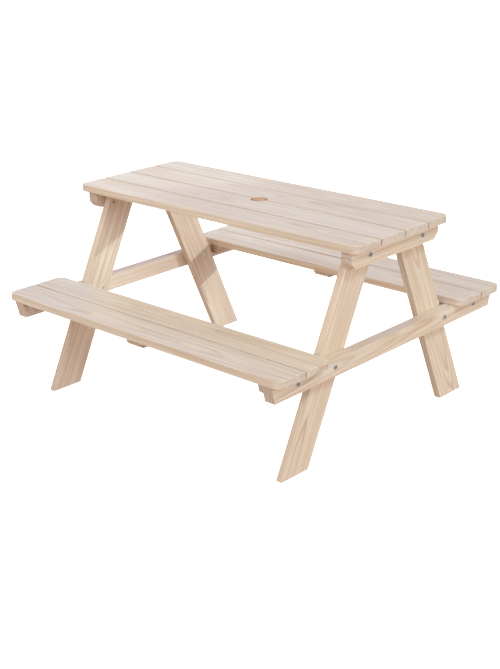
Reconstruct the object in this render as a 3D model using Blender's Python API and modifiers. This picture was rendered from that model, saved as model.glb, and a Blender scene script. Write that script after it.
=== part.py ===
"""Children's picnic table: a slatted top and two slatted benches on a bolted timber frame.

Metres, +Z up. The origin is on the floor below the middle of the table. +X runs along the boards,
and +Y runs from the front bench to the back bench.
"""
import math

import bmesh
import bpy
from mathutils import Matrix

# Whole table
TABLE_LENGTH = 0.900
TABLE_HEIGHT = 0.514
SEAT_HEIGHT = 0.279

# Boards of the top and the benches
BOARD_WIDTH = 0.087
BOARD_THICKNESS = 0.018
BOARD_GAP = 0.0045
TOP_BOARD_COUNT = 4
BENCH_BOARD_COUNT = 2
CORNER_RADIUS = 0.021
EDGE_EASING = 0.0025

# Hole for a parasol pole, bored through the middle gap of the top
POLE_HOLE_DIAMETER = 0.0435
POLE_HOLE_OFFSET = 0.015

# Beams across both ends
BEAM_HEIGHT = 0.042
BEAM_THICKNESS = 0.029
END_OVERHANG = 0.023
TOP_BEAM_INSET = 0.0115
TOP_BEAM_CHAMFER = 0.015
SEAT_BEAM_INSET = 0.0025
SLANT = math.radians(15.0)

# Legs
LEG_WIDTH = 0.084
LEG_THICKNESS = 0.018
LEG_TILT = math.radians(25.4)
LEG_TOP_GAP = 0.0715
LEG_TO_BENCH = 0.0193

# Cleats under the bench ends, beside the seat beams
CLEAT_HEIGHT = 0.028
CLEAT_THICKNESS = 0.022
CLEAT_INSET = 0.0135
CLEAT_TO_LEG = 0.0165

# Flat battens under the middle of the top and of each bench
BATTEN_THICKNESS = 0.018
BATTEN_CHAMFER = 0.007
MIDDLE_CLEAT_WIDTH = 0.050
MIDDLE_CLEAT_INNER_INSET = 0.0155
MIDDLE_CLEAT_OUTER_INSET = 0.0115
TOP_BATTEN_WALL = 0.022
TOP_BATTEN_INSET = 0.0505

# Bolts with flat round heads, each with a washer under its head and a low flange nut on the inside
BOLT_DIAMETER = 0.006
BOLT_END_INSET = 0.0005
HEAD_DIAMETER = 0.010
HEAD_HEIGHT = 0.0018
SOCKET_ACROSS_FLATS = 0.004
SOCKET_DEPTH = 0.0012
NUT_ACROSS_FLATS = 0.009
NUT_HEIGHT = 0.0035
FLANGE_DIAMETER = 0.012
FLANGE_THICKNESS = 0.0018
WASHER_DIAMETER = 0.012
WASHER_THICKNESS = 0.0008
TOP_BOLT_DROP = 0.019
TOP_BOLT_OUTSET = 0.0103
SEAT_BOLT_DROP = 0.017
SEAT_BOLT_OUTSET = 0.0164

# Gap between pieces that touch, how far a cutter runs past what it cuts, and when points are one
FIT_GAP = 0.0003
CUT_OVERRUN = 0.010
WELD = 0.00001

# Mesh detail
CORNER_STEPS = 6
EASING_STEPS = 2
HOLE_SIDES = 32
HEAD_SIDES = 18
WASHER_SIDES = 18
BOLT_SIDES = 12
HEX_SIDES = 6
FLAT_ANGLE = math.radians(1.0)
EASED_ANGLE = math.radians(40.0)
SMOOTH_ANGLE = math.radians(30.0)

# Levels and places that follow from the sizes above
BOARD_UNDERSIDE = TABLE_HEIGHT - BOARD_THICKNESS
SEAT_UNDERSIDE = SEAT_HEIGHT - BOARD_THICKNESS
TOP_BEAM_TOP = BOARD_UNDERSIDE - FIT_GAP
SEAT_BEAM_TOP = SEAT_UNDERSIDE - FIT_GAP
BOARD_PITCH = BOARD_WIDTH + BOARD_GAP
TOP_HALF_WIDTH = (TOP_BOARD_COUNT * BOARD_PITCH - BOARD_GAP) / 2
BENCH_WIDTH = BENCH_BOARD_COUNT * BOARD_PITCH - BOARD_GAP
BEAM_X = TABLE_LENGTH / 2 - END_OVERHANG - BEAM_THICKNESS / 2
FRAME_X = BEAM_X - BEAM_THICKNESS / 2 - FIT_GAP
LEG_X = FRAME_X - LEG_THICKNESS / 2
CLEAT_X = FRAME_X - CLEAT_THICKNESS / 2
LEG_SLOPE = math.tan(LEG_TILT)
LEG_HALF_CUT = LEG_WIDTH / math.cos(LEG_TILT) / 2
SOCKET_RADIUS = SOCKET_ACROSS_FLATS / math.sqrt(3)
NUT_RADIUS = NUT_ACROSS_FLATS / math.sqrt(3)
BOLT_HOLE_RADIUS = BOLT_DIAMETER / 2 + FIT_GAP


def leg_centre(level):
    """Distance of a leg's centre line from the middle of the table at a level above the floor."""
    return LEG_TOP_GAP / 2 + LEG_HALF_CUT + LEG_SLOPE * (TOP_BEAM_TOP - level)


BENCH_INNER_EDGE = leg_centre(SEAT_UNDERSIDE) + LEG_HALF_CUT + LEG_TO_BENCH
BENCH_CENTRE = BENCH_INNER_EDGE + BENCH_WIDTH / 2
BENCH_OUTER_EDGE = BENCH_INNER_EDGE + BENCH_WIDTH
CLEAT_BOTTOM = SEAT_BEAM_TOP - CLEAT_HEIGHT
CLEAT_INNER_END = leg_centre(CLEAT_BOTTOM) + LEG_HALF_CUT + CLEAT_TO_LEG

ENDS = {"left": -1, "right": 1}
SIDES = {"front": -1, "back": 1}


def clear_scene():
    """Removes every object of the scene."""
    for old in list(bpy.data.objects):
        bpy.data.objects.remove(old)


def new_collection(name):
    """Adds a collection to the scene."""
    collection = bpy.data.collections.new(name)
    bpy.context.scene.collection.children.link(collection)
    return collection


def new_material(name, color, roughness, metallic=0.0):
    """Makes a plain material."""
    material = bpy.data.materials.new(name)
    material.use_nodes = True
    shader = material.node_tree.nodes["Principled BSDF"]
    shader.inputs["Base Color"].default_value = (*color, 1.0)
    shader.inputs["Roughness"].default_value = roughness
    shader.inputs["Metallic"].default_value = metallic
    return material


def board_material():
    """Pale planed pine of the boards."""
    return new_material("board_pine", (0.78, 0.62, 0.47), 0.6)


def frame_material():
    """Slightly warmer pine of the beams and legs."""
    return new_material("frame_pine", (0.74, 0.55, 0.37), 0.6)


def batten_material():
    """Pine of the cleats and battens below the boards."""
    return new_material("batten_pine", (0.70, 0.51, 0.34), 0.65)


def bolt_material():
    """Dull grey steel of the bolts."""
    return new_material("dark_steel", (0.22, 0.215, 0.205), 0.4, 1.0)


def zinc_material():
    """Bright plated steel of the washers and nuts."""
    return new_material("zinc_steel", (0.62, 0.62, 0.60), 0.35, 1.0)


def evaluated_mesh(source):
    """The mesh of an object with its modifiers, after which the object is removed."""
    bpy.context.view_layer.update()
    graph = bpy.context.evaluated_depsgraph_get()
    mesh = bpy.data.meshes.new_from_object(source.evaluated_get(graph))
    mesh.transform(source.matrix_world)
    bpy.data.objects.remove(source)
    return mesh


def welded(mesh):
    """Welds an outline's loose caps and makes each flat side one face."""
    work = bmesh.new()
    work.from_mesh(mesh)
    bmesh.ops.remove_doubles(work, verts=work.verts, dist=WELD)
    bmesh.ops.dissolve_limit(work, angle_limit=FLAT_ANGLE, verts=work.verts, edges=work.edges)
    bmesh.ops.recalc_face_normals(work, faces=work.faces)
    work.to_mesh(mesh)
    work.free()
    return mesh


def outline_mesh(name, outline, thickness):
    """A flat piece from its outline, centred on its own thickness."""
    curve = bpy.data.curves.new(name, "CURVE")
    curve.dimensions = "2D"
    curve.fill_mode = "BOTH"
    curve.extrude = thickness / 2
    spline = curve.splines.new("POLY")
    spline.points.add(len(outline) - 1)
    for point, (across, along) in zip(spline.points, outline):
        point.co = (across, along, 0.0, 1.0)
    spline.use_cyclic_u = True
    source = bpy.data.objects.new(name, curve)
    bpy.context.scene.collection.objects.link(source)
    return welded(evaluated_mesh(source))


def add_piece(collection, name, mesh, material):
    """Adds a piece to the table's collection."""
    mesh.name = name
    mesh.materials.clear()
    mesh.materials.append(material)
    piece = bpy.data.objects.new(name, mesh)
    collection.objects.link(piece)
    return piece


def flat_piece(collection, name, outline, thickness, place, material):
    """A piece that lies flat, with its outline seen from above."""
    piece = add_piece(collection, name, outline_mesh(name, outline, thickness), material)
    piece.location = place
    ease(piece)
    return piece


def upright_piece(collection, name, outline, thickness, x, material):
    """A piece that stands across the table, with its outline in Y and Z."""
    piece = add_piece(collection, name, outline_mesh(name, outline, thickness), material)
    piece.rotation_euler = (math.pi / 2, 0.0, math.pi / 2)
    piece.location = (x, 0.0, 0.0)
    ease(piece)
    return piece


def ease(piece):
    """Rounds the edges of a board lightly."""
    bevel = piece.modifiers.new("eased_edges", "BEVEL")
    bevel.width = EDGE_EASING
    bevel.segments = EASING_STEPS
    bevel.limit_method = "ANGLE"
    bevel.angle_limit = EASED_ANGLE


def cut(piece, *cutters):
    """Cuts holes in a piece."""
    for cutter in cutters:
        boolean = piece.modifiers.new("cut_" + cutter.name, "BOOLEAN")
        boolean.operation = "DIFFERENCE"
        boolean.solver = "EXACT"
        boolean.object = cutter


def combined_mesh(first, second, operation):
    """Joins a mesh with another, or cuts it with another."""
    pieces = []
    for mesh in (first, second):
        piece = bpy.data.objects.new(mesh.name, mesh)
        bpy.context.scene.collection.objects.link(piece)
        pieces.append(piece)
    boolean = pieces[0].modifiers.new("combined", "BOOLEAN")
    boolean.operation = operation
    boolean.solver = "EXACT"
    boolean.object = pieces[1]
    mesh = evaluated_mesh(pieces[0])
    bpy.data.objects.remove(pieces[1])
    return mesh


def rod_mesh(name, radius, bottom, top, sides):
    """A rod along Z, or a hexagonal bar where it has six sides."""
    mesh = bpy.data.meshes.new(name)
    work = bmesh.new()
    middle = Matrix.Translation((0.0, 0.0, (bottom + top) / 2))
    bmesh.ops.create_cone(work, cap_ends=True, segments=sides, radius1=radius, radius2=radius,
                          depth=top - bottom, matrix=middle)
    work.to_mesh(mesh)
    work.free()
    return mesh


def shaded(mesh):
    """Shades round faces smooth and keeps hard edges."""
    mesh.shade_smooth()
    mesh.set_sharp_from_angle(angle=SMOOTH_ANGLE)
    return mesh


def add_cutter(collection, name, mesh):
    """Adds a shape that only cuts others."""
    cutter = bpy.data.objects.new(name, mesh)
    cutter.hide_render = True
    cutter.display_type = "WIRE"
    collection.objects.link(cutter)
    return cutter


def board_outline(rounded_side):
    """Outline of a board, with the two corners of its front (-1) or back (1) edge rounded, or none (0)."""
    half_length = TABLE_LENGTH / 2
    half_width = BOARD_WIDTH / 2
    if rounded_side == 0:
        return [(-half_length, -half_width), (half_length, -half_width),
                (half_length, half_width), (-half_length, half_width)]
    outline = [(-half_length, -rounded_side * half_width), (half_length, -rounded_side * half_width)]
    for end in (1, -1):
        for step in range(CORNER_STEPS + 1):
            turned = math.pi / 2 * step / CORNER_STEPS
            angle = turned if end == 1 else math.pi / 2 - turned
            along = half_length - CORNER_RADIUS + CORNER_RADIUS * math.cos(angle)
            across = half_width - CORNER_RADIUS + CORNER_RADIUS * math.sin(angle)
            outline.append((end * along, rounded_side * across))
    return outline


def board_centres(count):
    """Centres of a row of boards, from the front to the back."""
    return [(index - (count - 1) / 2) * BOARD_PITCH for index in range(count)]


def add_top_boards(collection, material, pole_hole):
    """Boards of the top, with the pole hole across the middle gap."""
    centre_z = TABLE_HEIGHT - BOARD_THICKNESS / 2
    names = ("front", "middle_front", "middle_back", "back")
    rounded_sides = (-1, 0, 0, 1)
    for name, rounded_side, y in zip(names, rounded_sides, board_centres(TOP_BOARD_COUNT)):
        board = flat_piece(collection, f"top_board_{name}", board_outline(rounded_side), BOARD_THICKNESS,
                           (0.0, y, centre_z), material)
        if rounded_side == 0:
            cut(board, pole_hole)


def add_bench_boards(collection, material):
    """Boards of both benches."""
    centre_z = SEAT_HEIGHT - BOARD_THICKNESS / 2
    for side_name, side in SIDES.items():
        for place, outwards, y in zip(("inner", "outer"), (-1, 1), board_centres(BENCH_BOARD_COUNT)):
            flat_piece(collection, f"bench_{side_name}_{place}_board", board_outline(side * outwards),
                       BOARD_THICKNESS, (0.0, side * (BENCH_CENTRE + y), centre_z), material)


def add_top_beams(collection, material, bolt_holes):
    """Beams under both ends of the top, with chamfered lower corners."""
    half = TOP_HALF_WIDTH - TOP_BEAM_INSET
    bottom = TOP_BEAM_TOP - BEAM_HEIGHT
    outline = [(-half, TOP_BEAM_TOP), (-half, bottom + TOP_BEAM_CHAMFER), (-half + TOP_BEAM_CHAMFER, bottom),
               (half - TOP_BEAM_CHAMFER, bottom), (half, bottom + TOP_BEAM_CHAMFER), (half, TOP_BEAM_TOP)]
    for end_name, end in ENDS.items():
        beam = upright_piece(collection, f"top_beam_{end_name}", outline, BEAM_THICKNESS,
                             end * BEAM_X, material)
        for side_name in SIDES:
            cut(beam, bolt_holes[f"leg_top_{side_name}_{end_name}"])


def add_seat_beams(collection, material, bolt_holes):
    """Beams that carry both benches, with ends that slant inwards."""
    upper = BENCH_OUTER_EDGE - SEAT_BEAM_INSET
    lower = upper - BEAM_HEIGHT * math.tan(SLANT)
    bottom = SEAT_BEAM_TOP - BEAM_HEIGHT
    outline = [(-upper, SEAT_BEAM_TOP), (-lower, bottom), (lower, bottom), (upper, SEAT_BEAM_TOP)]
    for end_name, end in ENDS.items():
        beam = upright_piece(collection, f"seat_beam_{end_name}", outline, BEAM_THICKNESS,
                             end * BEAM_X, material)
        for side_name in SIDES:
            place = f"{side_name}_{end_name}"
            cut(beam, bolt_holes[f"leg_seat_{place}"], bolt_holes[f"cleat_{place}"])


def add_legs(collection, material, bolt_holes):
    """Splayed legs, cut level at the floor and under the top."""
    corners = ((0.0, LEG_HALF_CUT), (0.0, -LEG_HALF_CUT),
               (TOP_BEAM_TOP, -LEG_HALF_CUT), (TOP_BEAM_TOP, LEG_HALF_CUT))
    for side_name, side in SIDES.items():
        outline = [(side * (leg_centre(level) + across), level) for level, across in corners]
        for end_name, end in ENDS.items():
            place = f"{side_name}_{end_name}"
            leg = upright_piece(collection, f"leg_{place}", outline, LEG_THICKNESS, end * LEG_X, material)
            cut(leg, bolt_holes[f"leg_top_{place}"], bolt_holes[f"leg_seat_{place}"])


def add_bench_cleats(collection, material, bolt_holes):
    """Cleats that join the bench boards at their ends, square inside and slanted outside."""
    upper = BENCH_OUTER_EDGE - CLEAT_INSET
    lower = upper - CLEAT_HEIGHT * math.tan(SLANT)
    for side_name, side in SIDES.items():
        outline = [(side * CLEAT_INNER_END, SEAT_BEAM_TOP), (side * CLEAT_INNER_END, CLEAT_BOTTOM),
                   (side * lower, CLEAT_BOTTOM), (side * upper, SEAT_BEAM_TOP)]
        for end_name, end in ENDS.items():
            place = f"{side_name}_{end_name}"
            cleat = upright_piece(collection, f"bench_cleat_{place}", outline, CLEAT_THICKNESS,
                                  end * CLEAT_X, material)
            cut(cleat, bolt_holes[f"cleat_{place}"])


def batten_outline(inner, outer, top):
    """Side outline of a flat batten, with chamfered lower ends."""
    bottom = top - BATTEN_THICKNESS
    return [(inner, top), (inner, bottom + BATTEN_CHAMFER), (inner + BATTEN_CHAMFER, bottom),
            (outer - BATTEN_CHAMFER, bottom), (outer, bottom + BATTEN_CHAMFER), (outer, top)]


def add_middle_cleats(collection, material):
    """Flat battens across the middle of the benches."""
    inner = BENCH_INNER_EDGE + MIDDLE_CLEAT_INNER_INSET
    outer = BENCH_OUTER_EDGE - MIDDLE_CLEAT_OUTER_INSET
    for side_name, side in SIDES.items():
        outline = [(side * y, z) for y, z in batten_outline(inner, outer, SEAT_BEAM_TOP)]
        upright_piece(collection, f"bench_middle_cleat_{side_name}", outline, MIDDLE_CLEAT_WIDTH,
                      0.0, material)


def add_top_batten(collection, material, pole_hole):
    """Flat batten under the middle of the top, which the pole hole passes through."""
    half = TOP_HALF_WIDTH - TOP_BATTEN_INSET
    batten = upright_piece(collection, "top_batten", batten_outline(-half, half, TOP_BEAM_TOP),
                           POLE_HOLE_DIAMETER + 2 * TOP_BATTEN_WALL, POLE_HOLE_OFFSET, material)
    cut(batten, pole_hole)


def leg_bolt_points():
    """Name, end, Y and Z of each bolt that joins a leg to a beam."""
    points = []
    for beam, drop, outset, beam_top in (("top", TOP_BOLT_DROP, TOP_BOLT_OUTSET, TOP_BEAM_TOP),
                                         ("seat", SEAT_BOLT_DROP, SEAT_BOLT_OUTSET, SEAT_BEAM_TOP)):
        z = beam_top - drop
        y = leg_centre(z) + outset
        points += [(f"leg_{beam}_{side_name}_{end_name}", end, side * y, z)
                   for side_name, side in SIDES.items() for end_name, end in ENDS.items()]
    return points


def cleat_bolt_points():
    """Name, end, Y and Z of each bolt that joins a bench cleat to a seat beam."""
    z = SEAT_BEAM_TOP - SEAT_BOLT_DROP
    return [(f"cleat_{side_name}_{end_name}", end, side * BENCH_CENTRE, z)
            for side_name, side in SIDES.items() for end_name, end in ENDS.items()]


def bolt_mesh(name, clamped):
    """A bolt along Z, with the beam's outer face at Z 0 and the shank below it."""
    under_head = WASHER_THICKNESS + 2 * FIT_GAP
    head_top = under_head + HEAD_HEIGHT
    shank_end = -clamped - FIT_GAP - NUT_HEIGHT + BOLT_END_INSET
    head = rod_mesh(name, HEAD_DIAMETER / 2, under_head, head_top, HEAD_SIDES)
    shank = rod_mesh("shank", BOLT_DIAMETER / 2, shank_end, under_head + HEAD_HEIGHT / 2, BOLT_SIDES)
    socket = rod_mesh("socket", SOCKET_RADIUS, head_top - SOCKET_DEPTH, head_top + CUT_OVERRUN, HEX_SIDES)
    return shaded(combined_mesh(combined_mesh(head, shank, "UNION"), socket, "DIFFERENCE"))


def bored(body, top):
    """Bores a bolt's clearance hole through a washer or nut."""
    bore = rod_mesh("bore", BOLT_HOLE_RADIUS, -CUT_OVERRUN, top + CUT_OVERRUN, BOLT_SIDES)
    return shaded(combined_mesh(body, bore, "DIFFERENCE"))


def washer_mesh():
    """A washer that stands on Z 0."""
    body = rod_mesh("washer", WASHER_DIAMETER / 2, 0.0, WASHER_THICKNESS, WASHER_SIDES)
    return bored(body, WASHER_THICKNESS)


def nut_mesh():
    """A hexagonal nut with a round flange, which stands on the flange at Z 0."""
    flange = rod_mesh("nut", FLANGE_DIAMETER / 2, 0.0, FLANGE_THICKNESS, WASHER_SIDES)
    hexagon = rod_mesh("hexagon", NUT_RADIUS, FLANGE_THICKNESS / 2, NUT_HEIGHT, HEX_SIDES)
    return bored(combined_mesh(flange, hexagon, "UNION"), NUT_HEIGHT)


def add_fastener(collection, name, mesh, material, point, depth, faces_out):
    """Places a bolt, washer or nut on a bolt's axis, at a depth below the beam's outer face."""
    end, y, z = point
    piece = bpy.data.objects.new(name, mesh)
    if not mesh.materials:
        mesh.materials.append(material)
    turned = end if faces_out else -end
    piece.rotation_euler = (0.0, turned * math.pi / 2, 0.0)
    piece.location = (end * (BEAM_X + BEAM_THICKNESS / 2 - depth), y, z)
    collection.objects.link(piece)


def add_bolts(collection, dark, bright):
    """Bolts through beams and legs, and through beams and cleats, with washers and nuts."""
    washer = washer_mesh()
    nut = nut_mesh()
    for points, behind in ((leg_bolt_points(), LEG_THICKNESS), (cleat_bolt_points(), CLEAT_THICKNESS)):
        clamped = BEAM_THICKNESS + FIT_GAP + behind
        bolt = bolt_mesh("bolt", clamped)
        for name, *point in points:
            add_fastener(collection, f"{name}_bolt", bolt, dark, point, 0.0, True)
            add_fastener(collection, f"{name}_washer", washer, bright, point, -FIT_GAP, True)
            add_fastener(collection, f"{name}_nut", nut, bright, point, clamped + FIT_GAP, False)


def bolt_hole_cutters(collection):
    """Clearance holes for the bolts, by the bolts' names."""
    reach = BEAM_THICKNESS + FIT_GAP + max(LEG_THICKNESS, CLEAT_THICKNESS) + CUT_OVERRUN
    rod = rod_mesh("bolt_hole", BOLT_HOLE_RADIUS, -reach, CUT_OVERRUN, BOLT_SIDES)
    cutters = {}
    for name, end, y, z in leg_bolt_points() + cleat_bolt_points():
        cutter = add_cutter(collection, f"{name}_hole", rod)
        cutter.rotation_euler = (0.0, end * math.pi / 2, 0.0)
        cutter.location = (end * (BEAM_X + BEAM_THICKNESS / 2), y, z)
        cutters[name] = cutter
    return cutters


def pole_hole_cutter(collection):
    """The hole for a parasol pole, through the boards and the batten."""
    rod = rod_mesh("pole_hole", POLE_HOLE_DIAMETER / 2, TOP_BEAM_TOP - BATTEN_THICKNESS - CUT_OVERRUN,
                   TABLE_HEIGHT + CUT_OVERRUN, HOLE_SIDES)
    cutter = add_cutter(collection, "pole_hole", rod)
    cutter.location = (POLE_HOLE_OFFSET, 0.0, 0.0)
    return cutter


def build_table():
    """Builds the whole table."""
    clear_scene()
    table = new_collection("kids_picnic_table")
    cutters = new_collection("cutters")
    bolt_holes = bolt_hole_cutters(cutters)
    pole_hole = pole_hole_cutter(cutters)
    boards = board_material()
    frame = frame_material()
    battens = batten_material()
    dark = bolt_material()
    bright = zinc_material()
    add_top_boards(table, boards, pole_hole)
    add_bench_boards(table, boards)
    add_top_beams(table, frame, bolt_holes)
    add_seat_beams(table, frame, bolt_holes)
    add_legs(table, frame, bolt_holes)
    add_bench_cleats(table, battens, bolt_holes)
    add_middle_cleats(table, battens)
    add_top_batten(table, battens, pole_hole)
    add_bolts(table, dark, bright)


build_table()
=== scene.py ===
"""Kids picnic table: pine boards, beams and legs, bolted together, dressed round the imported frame."""
import math

import bmesh
import bpy
from bpy.props import FloatProperty, FloatVectorProperty, IntProperty, PointerProperty
from bpy.types import Operator, Panel, PropertyGroup
from mathutils import Matrix, Vector


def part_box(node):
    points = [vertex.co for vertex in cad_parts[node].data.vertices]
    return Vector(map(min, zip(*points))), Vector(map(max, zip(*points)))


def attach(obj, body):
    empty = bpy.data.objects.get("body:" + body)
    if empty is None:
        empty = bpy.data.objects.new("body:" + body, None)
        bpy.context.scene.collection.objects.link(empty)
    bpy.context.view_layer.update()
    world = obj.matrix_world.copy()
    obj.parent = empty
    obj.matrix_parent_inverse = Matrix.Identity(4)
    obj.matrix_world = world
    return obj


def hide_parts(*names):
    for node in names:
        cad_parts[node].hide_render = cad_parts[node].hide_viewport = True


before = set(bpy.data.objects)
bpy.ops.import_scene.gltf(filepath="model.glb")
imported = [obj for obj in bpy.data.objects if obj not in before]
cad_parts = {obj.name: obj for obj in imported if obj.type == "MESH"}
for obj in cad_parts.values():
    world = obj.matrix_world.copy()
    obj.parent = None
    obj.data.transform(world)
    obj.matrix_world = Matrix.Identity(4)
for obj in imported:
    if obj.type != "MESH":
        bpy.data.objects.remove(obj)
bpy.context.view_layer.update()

bl_info = {
    "name": "Kids Picnic Table",
    "version": (1, 0, 0),
    "blender": (4, 5, 0),
    "location": "View3D > Sidebar > Picnic Table",
    "description": "Builds a small picnic table of planed pine, with its bolts, screws and stage",
    "category": "Object",
}

BODY = "root"

# Directions of the table: along its boards, across it, and up.
ALONG = Vector((1.0, 0.0, 0.0))
ACROSS = Vector((0.0, 1.0, 0.0))
UP = Vector((0.0, 0.0, 1.0))
X, Y, Z = 0, 1, 2
ENDS = {"left": -1, "right": 1}
SIDES = {"front": -1, "back": 1}

FACE_ANGLE = math.radians(30.0)     # edges sharper than this are eased
SMOOTH_ANGLE = math.radians(50.0)   # faces that meet more gently than this are shaded as one
WELD = 1e-5                         # points closer than this are one point
CUT_MARGIN = 0.01                   # how far a cutter passes through what it cuts
BOLT_PLAY = 0.0003                  # room between a bolt and the wall of its hole
HOLE_STEPS = 96                     # sides of the pole hole
BORE_STEPS = 24                     # sides of a bolt hole

COLOUR = {"size": 3, "min": 0.0, "max": 1.0}        # what every colour setting has


class TimberSizes(PropertyGroup):
    """Shapes of the boards, beams and legs that the frame's boxes don't give."""
    edge_easing: FloatProperty(
        name="Edge Easing", description="Radius of the rounded long edges", default=0.0012, unit="LENGTH")
    easing_steps: IntProperty(name="Easing Steps", description="Faces across a rounded edge", default=4)
    corner_radius: FloatProperty(
        name="Corner Radius", description="Radius of the outer boards' corners", default=0.021, unit="LENGTH")
    corner_steps: IntProperty(name="Corner Steps", description="Faces round a board's corner", default=14)
    beam_chamfer: FloatProperty(
        name="Beam Chamfer", description="Cut off the top beams' lower corners", default=0.015, unit="LENGTH")
    batten_chamfer: FloatProperty(
        name="Batten Chamfer", description="Cut off the battens' lower corners", default=0.007, unit="LENGTH")
    end_slant: FloatProperty(
        name="End Slant", description="Slant of the seat beams' and cleats' ends", default=math.radians(15.0),
        subtype="ANGLE")
    leg_tilt: FloatProperty(
        name="Leg Tilt", description="Splay of the legs from upright", default=math.radians(25.4),
        subtype="ANGLE")
    leg_width: FloatProperty(
        name="Leg Width", description="Width of a leg across its grain", default=0.084, unit="LENGTH")
    pole_hole: FloatProperty(
        name="Pole Hole", description="Diameter of the parasol hole", default=0.0435, unit="LENGTH")
    pole_offset: FloatProperty(
        name="Pole Offset", description="How far the hole lies right of the middle", default=0.015,
        unit="LENGTH")


class TimberFinish(PropertyGroup):
    """Colours and grain of the pine."""
    early_wood: FloatVectorProperty(
        name="Early Wood", description="Pale wood between the rings", default=(0.715, 0.570, 0.445),
        subtype="COLOR", **COLOUR)
    late_wood: FloatVectorProperty(
        name="Late Wood", description="Darker wood of the rings", default=(0.490, 0.270, 0.145),
        subtype="COLOR", **COLOUR)
    knot_wood: FloatVectorProperty(
        name="Knot Wood", description="Heart of a knot", default=(0.16, 0.085, 0.05), subtype="COLOR",
        **COLOUR)
    # Tint of the pole hole's wall: partly raw wood, partly painted shade inside the hole
    raw_wood_and_shade_tint: FloatVectorProperty(
        name="Raw Tint", description="Tint of raw wood inside the pole hole", default=(0.98, 0.80, 0.70),
        subtype="COLOR", **COLOUR)
    roughness: FloatProperty(
        name="Roughness", description="Roughness of the planed faces", default=0.42, subtype="FACTOR")
    sheen: FloatProperty(
        name="Oil Film", description="How much the oil on the wood shows", default=0.5, subtype="FACTOR")
    sheen_roughness: FloatProperty(
        name="Oil Film Roughness", description="Roughness of the film of oil", default=0.30, subtype="FACTOR")


class FastenerFinish(PropertyGroup):
    """Sizes and colours of the bolts, washers, nuts and screws."""
    bolt_steel: FloatVectorProperty(
        name="Bolt Steel", description="Dull grey steel of the bolts", default=(0.29, 0.29, 0.30),
        subtype="COLOR", **COLOUR)
    zinc: FloatVectorProperty(
        name="Zinc", description="Plating of the washers, nuts and screws", default=(0.80, 0.81, 0.82),
        subtype="COLOR", **COLOUR)
    bolt_diameter: FloatProperty(
        name="Bolt Diameter", description="Diameter of a bolt's shank", default=0.006, unit="LENGTH")
    head_diameter: FloatProperty(
        name="Head Diameter", description="Diameter of a bolt's low round head", default=0.010, unit="LENGTH")
    head_height: FloatProperty(
        name="Head Height", description="Height of a bolt head", default=0.0018, unit="LENGTH")
    socket_width: FloatProperty(
        name="Socket Width", description="Width of its hexagon socket", default=0.004, unit="LENGTH")
    socket_depth: FloatProperty(
        name="Socket Depth", description="Depth of its hexagon socket", default=0.0012, unit="LENGTH")
    washer_diameter: FloatProperty(
        name="Washer Diameter", description="Diameter of the washers and nut flanges", default=0.012,
        unit="LENGTH")
    washer_height: FloatProperty(
        name="Washer Height", description="Thickness of a washer", default=0.0008, unit="LENGTH")
    nut_width: FloatProperty(
        name="Nut Width", description="Width of a nut's hexagon", default=0.009, unit="LENGTH")
    nut_height: FloatProperty(
        name="Nut Height", description="Height of a nut with its flange", default=0.0035, unit="LENGTH")
    flange_height: FloatProperty(
        name="Flange Height", description="Thickness of a nut's flange", default=0.0018, unit="LENGTH")
    fit_gap: FloatProperty(
        name="Fit Gap", description="Gap between metal pieces and what they touch", default=0.0003,
        unit="LENGTH")
    thread_pitch: FloatProperty(
        name="Thread Pitch", description="Distance between thread ridges", default=0.001, unit="LENGTH")
    screw_head: FloatProperty(
        name="Screw Head", description="Diameter of a countersunk screw head", default=0.008, unit="LENGTH")


class StageSettings(PropertyGroup):
    """Floor, light and camera."""
    floor_colour: FloatVectorProperty(
        name="Floor Colour", description="Colour of the studio floor", default=(0.9, 0.9, 0.9),
        subtype="COLOR", **COLOUR)
    floor_glow: FloatProperty(name="Floor Glow", description="Light given off by the floor", default=1.0)
    floor_radius: FloatProperty(
        name="Floor Radius", description="Radius of the floor", default=40.0, unit="LENGTH")
    wall_height: FloatProperty(
        name="Wall Height", description="Height of the wall round the floor", default=30.0, unit="LENGTH")
    bounce_strength: FloatProperty(
        name="Bounce Strength", description="Strength of the light from all sides", default=0.58)
    bounce_colour: FloatVectorProperty(
        name="Bounce Colour", description="Colour of the light from all sides", default=(1.0, 0.84, 0.77),
        subtype="COLOR", **COLOUR)
    key_distance: FloatProperty(
        name="Key Distance", description="How far off the key lamp stands", default=20.0, unit="LENGTH")
    key_strength: FloatProperty(
        name="Key Strength", description="Light of the key lamp at the table", default=2.40)
    key_towards: FloatVectorProperty(
        name="Key Direction", description="Direction of the key lamp from the table", subtype="DIRECTION",
        size=3, default=(1.0, 1.1, 0.42))
    key_reach: FloatProperty(
        name="Key Reach", description="Radius of the key lamp's pool of light", default=3.0, unit="LENGTH")
    camera_place: FloatVectorProperty(
        name="Camera Place", description="Where the camera stands", subtype="XYZ", size=3,
        default=(1.9605, -2.2577, 1.2793))
    camera_yaw: FloatProperty(
        name="Camera Yaw", description="Turn of the camera to the left", default=math.radians(44.138),
        subtype="ANGLE")
    camera_pitch: FloatProperty(
        name="Camera Pitch", description="Tilt of the camera, negative is down", default=math.radians(-20.82),
        subtype="ANGLE")
    camera_roll: FloatProperty(
        name="Camera Roll", description="Turn of the camera about its own axis", default=math.radians(1.003),
        subtype="ANGLE")


# Shapes

def span(node):
    """Lowest and highest corner of a node of the frame."""
    low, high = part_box(node)
    return Vector(low), Vector(high)


def block(low, high):
    """A box between two corners."""
    work = bmesh.new()
    bmesh.ops.create_cube(work, size=1.0)
    bmesh.ops.scale(work, vec=high - low, verts=work.verts)
    bmesh.ops.translate(work, vec=(low + high) / 2, verts=work.verts)
    return work


def bevel(work, edges, width, steps):
    """Rounds or chamfers edges."""
    bmesh.ops.bevel(work, geom=list(edges), offset=width, offset_type="OFFSET", affect="EDGES",
                    segments=steps, profile=0.5, material=-1, clamp_overlap=True)


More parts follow.
